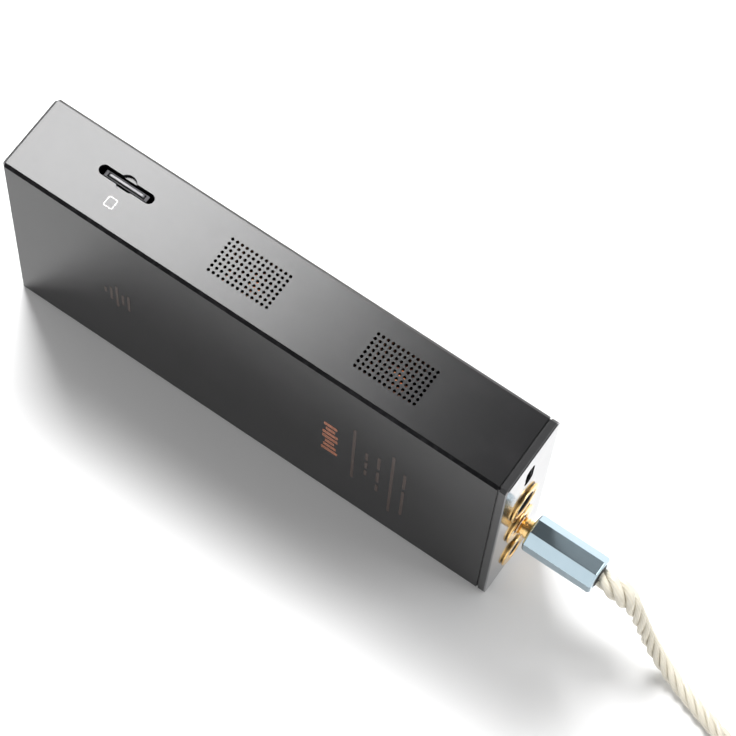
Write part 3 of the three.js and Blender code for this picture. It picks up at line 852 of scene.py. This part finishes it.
def smooth_line(points, spacing):
    """Centripetal spline through the points, sampled at an even spacing."""
    ends = np.vstack([2 * points[0] - points[1], points, 2 * points[-1] - points[-2]])
    line = []
    for i in range(1, len(ends) - 2):
        p0, p1, p2, p3 = ends[i - 1:i + 3]
        t1 = np.sqrt(np.linalg.norm(p1 - p0))
        t2 = t1 + np.sqrt(np.linalg.norm(p2 - p1))
        t3 = t2 + np.sqrt(np.linalg.norm(p3 - p2))
        t = np.linspace(t1, t2, 24, endpoint=False)[:, None]
        a1 = (t1 - t) / t1 * p0 + t / t1 * p1
        a2 = (t2 - t) / (t2 - t1) * p1 + (t - t1) / (t2 - t1) * p2
        a3 = (t3 - t) / (t3 - t2) * p2 + (t - t2) / (t3 - t2) * p3
        b1 = (t2 - t) / t2 * a1 + t / t2 * a2
        b2 = (t3 - t) / (t3 - t1) * a2 + (t - t1) / (t3 - t1) * a3
        line.append((t2 - t) / (t2 - t1) * b1 + (t - t1) / (t2 - t1) * b2)
    line = np.vstack([*line, points[-1:]])
    gone = np.concatenate([[0], np.cumsum(np.linalg.norm(np.diff(line, axis=0), axis=1))])
    even = np.linspace(0, gone[-1], int(round(gone[-1] / spacing)) + 1)
    return np.column_stack([np.interp(even, gone, line[:, k]) for k in range(3)]), even


def carried_frames(line):
    """Two directions square to the line at each point, carried along without twisting."""
    way = np.gradient(line, axis=0)
    way /= np.linalg.norm(way, axis=1)[:, None]
    side = np.array([0.0, 1.0, 0.0])
    sides = []
    for direction in way:
        side = side - direction * (side @ direction)
        side /= np.linalg.norm(side)
        sides.append(side)
    sides = np.array(sides)
    return sides, np.cross(way, sides)


def strand_tube(line, gone, radius, sides):
    """Vertices and faces of one closed tube, and each face corner's place along and round it."""
    first, second = carried_frames(line)
    angles = 2 * np.pi * np.arange(sides) / sides
    rings = (line[:, None]
             + radius[:, None, None] * (np.cos(angles)[None, :, None] * first[:, None]
                                        + np.sin(angles)[None, :, None] * second[:, None]))
    count = len(line)
    faces, places = [], []
    for i in range(count - 1):
        for j in range(sides):
            k = (j + 1) % sides
            faces.append((i * sides + j, i * sides + k, (i + 1) * sides + k, (i + 1) * sides + j))
            places += [(gone[i], j / sides), (gone[i], (j + 1) / sides),
                       (gone[i + 1], (j + 1) / sides), (gone[i + 1], j / sides)]
    faces.append(tuple(reversed(range(sides))))
    faces.append(tuple((count - 1) * sides + j for j in range(sides)))
    places += [(gone[0], j / sides) for j in reversed(range(sides))]
    places += [(gone[-1], j / sides) for j in range(sides)]
    return rings.reshape(-1, 3), faces, places


class LeadOperator(Operator):
    """Builds the twisted lead with its hank and the tie round it"""

    bl_idname = "slim_dac.lead"
    bl_label = "Twisted lead"

    def execute(self, context):
        settings = context.scene.dac_lead
        radius = settings.diameter / MM / 2
        strand = radius / (1 + math.sqrt(2))
        line, gone = smooth_line(lead_route(), 1.0)
        first, second = carried_frames(line)
        opened = (np.exp(-((gone - SPLAY_MIDDLE) / SPLAY_REACH) ** 2)
                  * settings.splay / MM)
        out = radius - strand + opened
        vertices, faces, places = [], [], []
        for number in range(STRANDS):
            angle = 2 * np.pi * (gone / (settings.twist / MM) + number / STRANDS)
            helix = line + out[:, None] * (np.cos(angle)[:, None] * first
                                           + np.sin(angle)[:, None] * second)
            rings, sides, ways = strand_tube(
                helix, gone, strand + opened * SPLAY_SWELL, STRAND_SIDES)
            faces += [tuple(i + len(vertices) for i in side) for side in sides]
            vertices += rings.tolist()
            places += ways
        mesh = bpy.data.meshes.new("lead_strands")
        mesh.from_pydata([[c * MM for c in v] for v in vertices], [], faces)
        layer = mesh.uv_layers.new(name="strand")
        layer.data.foreach_set("uv", np.array(places, np.float32).ravel())
        lead = bpy.data.objects.new("lead_strands", mesh)
        context.scene.collection.objects.link(lead)
        finished(lead, "strand_silver", "cord", "cord_hank", "cord_tail", angle=60,
                 weighted=False)
        length = gone[-1] * MM
        if abs(length - LEAD_LENGTH) > LENGTH_ERROR:
            raise RuntimeError(f"the lead's line is {length:.3f} m long")

        low, high = corners("cord_tie")
        thick = TIE_THICKNESS
        strap = capsule("hank_tie", low, high, "X", TIE_CORNER, 5)
        carve(strap, capsule(
            "tie_window", (low.x - 1, low.y + thick, low.z + thick),
            (high.x + 1, high.y - thick, high.z - thick), "X", TIE_INNER_CORNER, 5))
        soften(strap, 0.12)
        finished(strap, "strap_black", "cord_tie")
        return {"FINISHED"}


# Sizes of a plug's barrel and pin, in millimetres: the bore for the cord at the back, the shallow
# step at the front, and how far the pin's three insulating bands are from its tip.
BARREL_EDGE = 0.5
BARREL_BORE, BARREL_BORE_DEPTH = 3.55, 3
BARREL_STEP, BARREL_STEP_DEPTH = 2.95, 0.7
COLLAR_GROOVES = (0.30, 0.62)
PIN_BANDS = (5, 8.5, 12)


class PlugOperator(Operator):
    """Builds the two plugs: eight-sided barrels, grooved collars, pins and cord bushes"""

    bl_idname = "slim_dac.plugs"
    bl_label = "Plugs"

    def execute(self, context):
        for prefix in ("plug", "far_plug"):
            self.barrel(prefix)
            self.collar(prefix)
            self.bush(prefix)
            self.pin(prefix)
        return {"FINISHED"}

    def barrel(self, prefix):
        node = f"{prefix}_barrel"
        low, high = corners(node)
        centre = middle(node)
        corner = (high.y - low.y) / 2 / math.cos(math.pi / 8)
        deselect()
        bpy.ops.mesh.primitive_cylinder_add(
            vertices=8, radius=corner * MM, depth=(high.x - low.x) * MM, location=centre * MM,
            rotation=(0, math.pi / 2, 0))
        piece = settle(named(f"{node}_look"))
        in_edit_mode(piece)
        bpy.ops.mesh.select_all(action="SELECT")
        bpy.ops.transform.rotate(value=math.pi / 8, orient_axis="X", center_override=centre * MM)
        pick(piece, lambda edge: not along("X")(edge))
        bpy.ops.mesh.bevel(offset=BARREL_EDGE * MM, segments=1, affect="EDGES")
        out_of_edit_mode()
        back, front = sorted((high.x, low.x), reverse=prefix == "plug")
        ahead = math.copysign(1, front - back)
        bore = rod("bore", BARREL_BORE, "X",
                   *sorted((back - ahead, back + BARREL_BORE_DEPTH * ahead)), centre)
        step = rod("front_step", BARREL_STEP, "X",
                   *sorted((front + ahead, front - BARREL_STEP_DEPTH * ahead)), centre)
        carve(piece, bore, step)
        soften(piece, 0.14, 2, 25)
        finished(piece, "barrel_blue", node)

    def collar(self, prefix):
        node = f"{prefix}_collar"
        low, high = corners(node)
        radius = radius_of(node)
        steps = [(low.x, radius - 0.25), (low.x + 0.12, radius - 0.12)]
        for share in COLLAR_GROOVES:
            at = low.x + share * (high.x - low.x)
            steps += [(at - 0.22, radius), (at - 0.16, radius - 0.32), (at + 0.16, radius - 0.32),
                      (at + 0.22, radius)]
        steps += [(high.x - 0.1, radius), (high.x, radius - 0.12)]
        turned_part(node, "gold_plate", self.facing(prefix, steps))

    def facing(self, prefix, steps):
        """A turned profile, end for end on the far plug, which points the other way."""
        if prefix == "plug":
            return steps
        ends = steps[0][0] + steps[-1][0]
        return [(ends - at, radius) for at, radius in reversed(steps)]

    def bush(self, prefix):
        node = f"{prefix}_bush"
        low, high = corners(node)
        radius = radius_of(node)
        steps = [(low.x, radius - 0.1), (low.x + 0.1, radius), (high.x - 0.3, radius),
                 (high.x, radius - 0.3), (high.x, 2.6)]
        turned_part(node, "moulded_black", self.facing(prefix, steps), 48)

    def pin(self, prefix):
        node = f"{prefix}_pin"
        low, high = corners(node)
        radius = radius_of(node)
        steps = [(low.x, 0.7), (low.x + 0.35, 1.2), (low.x + 1.1, radius * 0.8),
                 (low.x + 2.2, radius)]
        for band in PIN_BANDS:
            at = low.x + band
            steps += [(at, radius), (at + 0.05, radius - 0.06), (at + 0.65, radius - 0.06),
                      (at + 0.7, radius)]
        steps += [(high.x - 0.1, radius), (high.x, radius - 0.1)]
        turned_part(node, "gold_plate", self.facing(prefix, steps), 40)


# ---------------------------------------------------------------- case

# In millimetres: the sleeve's wall, the gap round the fitted parts, the rails that hold the main
# board, the card slot, and the finger dish across it as pairs of depth and radius.
WALL, GAP = 1.6, 0.3
RAIL_WIDTH, RAIL_HEIGHT = 0.7, 1.5
SLOT_LENGTH, SLOT_WIDTH = 17.1, 3.1
DISH = ((0.95, 2.5), (0.85, 2.72), (-1, 2.75))

def stadium_cutter(name, length, width, low, high, centre):
    """Upright cutter with half-round ends along X."""
    x, y = centre
    half = width / 2
    return capsule(name, (x - length / 2, y - half, low), (x + length / 2, y + half, high), "Z",
                   half * 0.998, 12)


class CaseOperator(Operator):
    """Builds the case sleeve with its rails, card slot, finger dish and vent holes"""

    bl_idname = "slim_dac.case"
    bl_label = "Case sleeve"

    def execute(self, context):
        settings = context.scene.dac_case
        low, high = corners("case_sleeve")
        high.x += settings.groove_lip / MM
        sleeve = block("case_sleeve_look", low, high)
        chamfer = settings.edge_chamfer
        in_edit_mode(sleeve)
        pick(sleeve, along("X"))
        bpy.ops.mesh.bevel(offset=chamfer, segments=1, affect="EDGES")
        pick(sleeve, lambda edge: all(v.co.x < (low.x + 0.01) * MM for v in edge.verts))
        bpy.ops.mesh.bevel(offset=chamfer, segments=1, affect="EDGES")
        out_of_edit_mode()

        inner_y, floor, roof = high.y - WALL, low.z + WALL, high.z - WALL
        tunnel = block("tunnel", (low.x - 1, -inner_y, floor), (high.x + 1, inner_y, roof))
        board_low, board_high = corners("main_board")
        start = corners("control_end_plate")[1].x + GAP
        for z0, z1 in ((floor - 1, floor + RAIL_HEIGHT), (roof - RAIL_HEIGHT, roof + 1)):
            for y in (board_low.y - GAP - RAIL_WIDTH, board_high.y + GAP):
                carve(tunnel, block("rail", (start, y, z0), (high.x + 2, y + RAIL_WIDTH, z1)))
        carve(sleeve, tunnel)

        card, top = middle("card_socket"), high.z
        slot = stadium_cutter("slot", SLOT_LENGTH, SLOT_WIDTH, roof - 1, top + 1,
                              (card.x, card.y))
        dish = turned("dish", "Z", [(top - depth, radius) for depth, radius in DISH],
                      (card.x, card.y, 0))
        carve(sleeve, slot, dish)
        for node in ("left_tube", "right_tube"):
            carve(sleeve, self.vents(settings, middle(node).x, roof - 1, top + 1))
        soften(sleeve, settings.rim_break / MM)
        finished(sleeve, "case_black", "case_sleeve")
        return {"FINISHED"}

    def vents(self, settings, x, low, high):
        pitch = settings.vent_pitch / MM
        columns, rows = settings.vent_columns, settings.vent_rows
        first = Vector((x - (columns - 1) / 2 * pitch, -(rows - 1) / 2 * pitch, 0))
        hole = rod("vents", settings.vent_radius / MM, "Z", low, high, first, 14)
        for count, way in ((columns, (pitch * MM, 0, 0)), (rows, (0, pitch * MM, 0))):
            use(hole, "ARRAY", count=count, use_relative_offset=False,
                use_constant_offset=True, constant_offset_displace=way)
        return hole


class EndsOperator(Operator):
    """Builds the two end plates, the screws and their posts"""

    bl_idname = "slim_dac.ends"
    bl_label = "End plates and screws"

    def execute(self, context):
        for node, look, width in (("port_end_plate", "polished_plate", 0.1),
                                  ("control_end_plate", "case_black", 0.12)):
            piece = copied(f"{node}_look", node)
            if node == "port_end_plate":
                carve(piece, self.groove_floor(context.scene.dac_case), operation="UNION")
            finished(soften(piece, width), look, node)
        for where in ("lower", "upper"):
            node = f"plate_screw_{where}"
            low, high = corners(node)
            centre = middle(node)
            head = radius_of(node)
            screw = turned(f"{node}_look", "X", [
                (low.x, head - 0.3), (low.x + 0.12, head - 0.08), (low.x + 0.3, head),
                (low.x + 1, head), (low.x + 1, 0.9), (high.x - 0.3, 0.9), (high.x, 0.6),
            ], centre, 40)
            carve(screw, rod("key", 0.85, "X", low.x - 1, low.x + 0.65, centre, 6))
            finished(screw, "plated_steel", node)
            node = f"screw_post_{where}"
            low, high = corners(node)
            radius = radius_of(node)
            steps = [(low.x, 1.2), (low.x, radius - 0.15), (low.x + 0.15, radius),
                     (high.x - 0.15, radius), (high.x, radius - 0.15), (high.x, 1.2), (low.x, 1.2)]
            turned_part(node, "plated_steel", steps, 32, through=True)
        return {"FINISHED"}

    def groove_floor(self, settings):
        """Ring that closes the groove between the sleeve and the socket plate at its depth."""
        depth = settings.groove_depth / MM
        low, high = corners("case_sleeve")
        end = high.x + settings.groove_lip / MM
        last = corners("port_end_plate")[1].x - 1.2
        wall = 2.0
        ring = block("groove_floor", (end - 0.2, low.y + depth, low.z + depth),
                     (last, high.y - depth, high.z - depth))
        bevel_picked(ring, along("X"), settings.edge_chamfer / MM * 0.6)
        return carve(ring, block("hollow", (end - 1, low.y + wall, low.z + wall),
                                 (last + 1, high.y - wall, high.z - wall)))


SOCKET_BORES = {"headphone": 3.3, "balanced": 2.55, "line": 1.85}
RING_NECK, RING_WALL = 4.6, 0.45


class SocketOperator(Operator):
    """Builds the gold socket rings with their black linings, the socket bodies and the USB port"""

    bl_idname = "slim_dac.sockets"
    bl_label = "Sockets"

    def execute(self, context):
        plate = corners("port_end_plate")[1].x
        for name, bore in SOCKET_BORES.items():
            node = f"{name}_ring"
            low, high = corners(node)
            ring = radius_of(node)
            back = plate + 0.2
            wall = bore + RING_WALL
            steps = [
                (low.x, wall), (low.x, RING_NECK), (back, RING_NECK), (back, ring - 0.1),
                (back + 0.1, ring),
                (high.x - 0.22, ring), (high.x - 0.08, ring - 0.08), (high.x, ring - 0.25),
                (high.x, bore + 1.25), (high.x - 0.14, bore + 1.1), (high.x - 0.14, wall),
                (low.x, wall)]
            turned_part(node, "gold_plate", steps, 72, through=True)
            lining = [(low.x + 0.1, bore), (low.x + 0.1, wall - 0.02), (high.x - 0.2, wall - 0.02),
                      (high.x - 0.2, bore + 0.15), (high.x - 0.35, bore), (low.x + 0.1, bore)]
            on_case(turned(f"{name}_lining", "X", lining, middle(node), 72, through=True),
                    "moulded_black", "black_plastic")
            softened_copy(f"{name}_jack", "moulded_black", 0.15)
        for node, look in (("usb_socket", "card_steel"), ("usb_tongue", "moulded_black"),
                           ("usb_riser", "moulded_black")):
            softened_copy(node, look, 0.04)
        return {"FINISHED"}


CONTROLS = ("power", "volume_up", "volume_down")
BUTTON_WIDTH, BUTTON_HEIGHT = 3.6, 7.6
SIGN_DEPTH, SIGN_HALF, SIGN_LINE, DOT_RADIUS = 0.12, 0.7, 0.13, 0.5


class ControlOperator(Operator):
    """Builds the three push buttons with their engraved signs, and the switches behind them"""

    bl_idname = "slim_dac.controls"
    bl_label = "Buttons"

    def execute(self, context):
        for name in CONTROLS:
            node = f"{name}_button"
            low, high = corners(node)
            centre = middle(node)
            half, tall = BUTTON_WIDTH / 2, BUTTON_HEIGHT / 2
            cap = capsule(f"{node}_look", (low.x, centre.y - half, centre.z - tall),
                          (high.x - 0.4, centre.y + half, centre.z + tall), "X",
                          half * 0.998, 12)
            flange = capsule("flange", (high.x - 0.8, low.y, low.z), high, "X",
                             radius_of(node) * 0.998, 12)
            carve(cap, *self.sign(name, low.x, centre))
            carve(cap, flange, operation="UNION")
            soften(cap, 0.1)
            finished(cap, "case_black", node)
        for name in CONTROLS:
            softened_copy(f"{name}_switch", "plated_steel", 0.2, 2)
        return {"FINISHED"}

    def sign(self, name, face, centre):
        """Cutters for a button's sign: a dot, a plus or a minus."""
        half, thin = SIGN_HALF, SIGN_LINE
        x0, x1 = face - 1, face + SIGN_DEPTH
        if name == "power":
            return [rod("dot", DOT_RADIUS, "X", x0, x1, centre, 32)]
        bars = [block("bar", (x0, centre.y - half, centre.z - thin),
                      (x1, centre.y + half, centre.z + thin))]
        if name == "volume_up":
            bars.append(block("upright", (x0, centre.y - thin, centre.z - half),
                              (x1, centre.y + thin, centre.z + half)))
        return bars


INK = 0.03  # how far each print stands up, in millimetres
CARD_SIGN = ((-49.9, -6.2), (-47.0, -3.0))
SIGN_CORNER, SIGN_INNER_CORNER, SIGN_OUTLINE = 0.55, 0.35, 0.3


class CardOperator(Operator):
    """Builds the card socket and its spacer, the memory card and the card sign"""

    bl_idname = "slim_dac.card"
    bl_label = "Card and socket"

    def execute(self, context):
        softened_copy("card_socket", "card_steel", 0.08)
        low, high = corners("memory_card")
        card = capsule("memory_card_look", low, high, "Y", 0.6, 4)
        ridge = block("ridge", (low.x + 1, high.y - 0.18, high.z - 1.6),
                      (high.x - 1, high.y + 1, high.z - 0.9))
        carve(card, ridge)
        soften(card, 0.08)
        finished(card, "card_plastic", "memory_card")
        on_case(self.sign(*CARD_SIGN, corners("case_sleeve")[1].z), "print_white")
        softened_copy("card_spacer", "moulded_black", 0.3)
        return {"FINISHED"}

    def sign(self, low, high, top):
        """Rounded outline of a card, printed on the case's top face."""
        line = SIGN_OUTLINE
        sign = block("card_sign", (*low, top), (*high, top + INK))
        bevel_picked(sign, along("Z"), SIGN_CORNER, 3)
        return carve(sign, capsule(
            "hollow", (low[0] + line, low[1] + line, top - 1),
            (high[0] - line, high[1] - line, top + 1), "Z", SIGN_INNER_CORNER, 3))


# The prints on the front face: a stack of level bars, a wave of upright bars as pairs of place
# and length, and upright rules as a place and the spans that are printed.
LEVEL_PLACE, LEVEL_STEP, LEVEL_HALF, LEVEL_REACH = (26.1, 28.3), 2.75, 0.95, 2.6
WAVE_MIDDLE, WAVE_WIDTH = 37.5, 0.8
WAVE = ((-46.5, 3.0), (-44.6, 7.5), (-42.7, 12.5), (-40.8, 6.0), (-38.9, 9.0))
RULE_WIDTH = 0.9
RULES = (
    (33.5, ((20, 53),)), (37.6, ((27.5, 31), (32.5, 36.5), (38, 43))),
    (41.4, ((21.5, 26), (28, 35), (37, 45))), (45.6, ((12.8, 52),)),
    (49.4, ((16, 33), (35, 45))))


class PrintOperator(Operator):
    """Builds the copper ornament printed on the large front face"""

    bl_idname = "slim_dac.prints"
    bl_label = "Printed ornament"

    def execute(self, context):
        back = corners("case_sleeve")[0].y
        front = back - INK

        def bar(x, z0, z1, width):
            return capsule("bar", (x - width / 2, front, z0), (x + width / 2, back, z1), "Y",
                           width * 0.3, 2)

        x, lowest = LEVEL_PLACE
        levels = []
        for step in range(7):
            z = lowest + LEVEL_STEP * step
            reach = LEVEL_REACH * (0.45 + 0.55 * abs(math.cos(step * 0.9)))
            levels.append(capsule("level", (x - reach, front, z - LEVEL_HALF),
                                  (x + reach, back, z + LEVEL_HALF), "Y", 0.4, 3))
        on_case(joined("level_print", levels), "print_copper")
        wave = [bar(x, WAVE_MIDDLE - tall / 2, WAVE_MIDDLE + tall / 2, WAVE_WIDTH)
                for x, tall in WAVE]
        on_case(joined("wave_print", wave), "print_faint")
        rules = [bar(x, *span, RULE_WIDTH) for x, spans in RULES for span in spans]
        on_case(joined("rule_print", rules), "print_faint")
        return {"FINISHED"}


class InsideOperator(Operator):
    """Builds the tubes and finishes the boards and parts inside the case"""

    bl_idname = "slim_dac.inside"
    bl_label = "Tubes and boards"

    def execute(self, context):
        for side in ("left", "right"):
            self.tube(side)
            for where in ("near", "far"):
                softened_copy(f"{side}_capacitor_{where}", "gold_plate", 0.4, 3)
        for node in ("battery_pack", "shield_can", "clock_can", "power_inductor"):
            softened_copy(node, LOOK_OF_SLOT[SLOT_OF[node]], 0.5, 3)
        for node in ("converter_chip", "amplifier_chip_left", "amplifier_chip_right",
                     "left_tube_socket", "right_tube_socket"):
            softened_copy(node, "moulded_black", 0.15)
        for node, object_ in frame["nodes"].items():
            if object_.hide_render:
                continue
            object_.data.materials.clear()
            object_.data.materials.append(finish(LOOK_OF_SLOT[SLOT_OF[node]]))
        return {"FINISHED"}

    def tube(self, side):
        """One tube: its glass, its anode box between two mica discs, and its glowing heater."""
        node = f"{side}_tube"
        low, high = corners(node)
        centre = middle(node)
        radius = (high.x - low.x) / 2
        steps = [(low.z, radius * 0.8), (low.z + 0.7, radius * 0.96), (low.z + 1.4, radius)]
        for share in (0.0, 0.25, 0.5, 0.7, 0.85, 0.95):
            steps.append((high.z - 4 + 3.4 * share, radius * math.sqrt(1 - share * share)))
        steps.append((high.z, 0.5))
        glass = turned(f"{node}_look", "Z", steps, centre, 48)
        finished(glass, "tube_glass", node, angle=60)
        anode = soften(block(f"{side}_anode", (centre.x - 2.4, centre.y - 1.5, low.z + 6),
                             (centre.x + 2.4, centre.y + 1.5, high.z - 9)), 0.4, 2)
        on_case(anode, "anode_grey", "steel")
        discs = [turned("mica", "Z", [(z, 3.0), (z + 0.1, 3.2), (z + 0.3, 3.2), (z + 0.4, 3.0)],
                        centre, 32) for z in (low.z + 5.4, high.z - 8.7)]
        on_case(joined(f"{side}_mica", discs), "mica_white", "silicone")
        top = high.z - 3.2
        seat = centre + Vector((-0.8, 2.0, 0))
        glow = turned(f"{side}_heater", "Z", [(high.z - 8.2, 1.1), (high.z - 7.9, 1.5),
                                              (top - 0.4, 1.5), (top, 1.0)], seat, 32)
        on_case(glow, "heater_glow", "tube_glass")


# ---------------------------------------------------------------- add-on


class DacPanel(Panel):
    """Lists the pieces of the slim DAC and their settings"""

    bl_idname = "SLIMDAC_PT_pieces"
    bl_label = "Slim DAC"
    bl_space_type = "VIEW_3D"
    bl_region_type = "UI"
    bl_category = "Slim DAC"

    def draw(self, context):
        for settings in (context.scene.dac_case, context.scene.dac_lead, context.scene.dac_studio):
            for name in settings.__annotations__:
                self.layout.prop(settings, name)
        for operator in PIECES:
            self.layout.operator(operator.bl_idname)


PIECES = (StageOperator, PlugOperator, LeadOperator, CaseOperator, EndsOperator, SocketOperator,
          ControlOperator, CardOperator, PrintOperator, InsideOperator)
SETTINGS = {"dac_case": CaseSettings, "dac_lead": LeadSettings, "dac_studio": StudioSettings}
CLASSES = (*SETTINGS.values(), *PIECES, DacPanel)


def register():
    for each in CLASSES:
        bpy.utils.register_class(each)
    for name, group in SETTINGS.items():
        setattr(bpy.types.Scene, name, PointerProperty(type=group))


def unregister():
    for name in SETTINGS:
        delattr(bpy.types.Scene, name)
    for each in reversed(CLASSES):
        bpy.utils.unregister_class(each)


def main():
    register()
    for operator in PIECES:
        group, name = operator.bl_idname.split(".")
        getattr(getattr(bpy.ops, group), name)()


if __name__ == "__main__":
    main()
